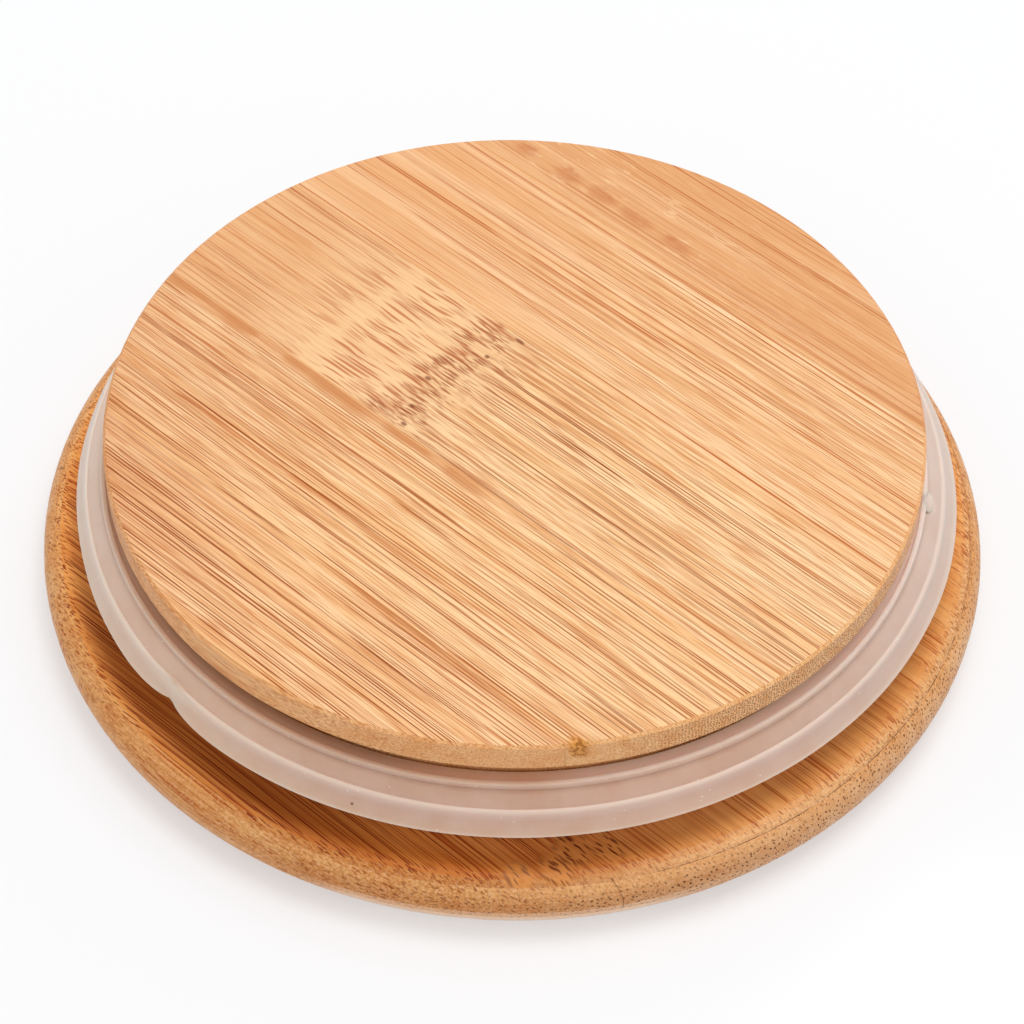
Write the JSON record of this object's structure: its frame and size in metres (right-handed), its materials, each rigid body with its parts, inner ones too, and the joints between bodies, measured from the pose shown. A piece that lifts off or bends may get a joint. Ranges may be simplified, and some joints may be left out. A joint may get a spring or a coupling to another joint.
{
  "type": "canister lid",
  "caption": "Round laminated bamboo canister lid, turned with a rounded flange, a groove and a plug, with a flared silicone sealing ring in the groove.",
  "frame": {"origin": "centre of the flange's outer face, the face that lies on the table", "axes": "+Z out through the plug, towards the inside of the canister in use; +X along the bamboo strips; +Y across them"},
  "size_m": [0.1, 0.1, 0.0207],
  "materials": {
    "bamboo_cover": "sanded and lightly oiled carbonised bamboo, end grain dots on the rim",
    "bamboo_core": "turned and lightly oiled bamboo with dark fibre streaks",
    "bamboo_plug": "fine sanded flat-pressed bamboo, satin",
    "silicone": "translucent milky silicone, satin moulded surface"
  },
  "bodies": {
    "root": {"cover_strip_1": "bamboo_cover", "cover_strip_2": "bamboo_cover", "cover_strip_3": "bamboo_cover", "cover_strip_4": "bamboo_cover", "cover_strip_5": "bamboo_cover", "cover_strip_6": "bamboo_cover", "cover_strip_7": "bamboo_cover", "core_strip_1": "bamboo_core", "core_strip_2": "bamboo_core", "core_strip_3": "bamboo_core", "core_strip_4": "bamboo_core", "core_strip_5": "bamboo_core", "core_strip_6": "bamboo_core", "plug_strip_1": "bamboo_plug", "plug_strip_2": "bamboo_plug", "plug_strip_3": "bamboo_plug", "plug_strip_4": "bamboo_plug", "plug_strip_5": "bamboo_plug", "seal_ring": "silicone"}
  },
  "joints": []
}
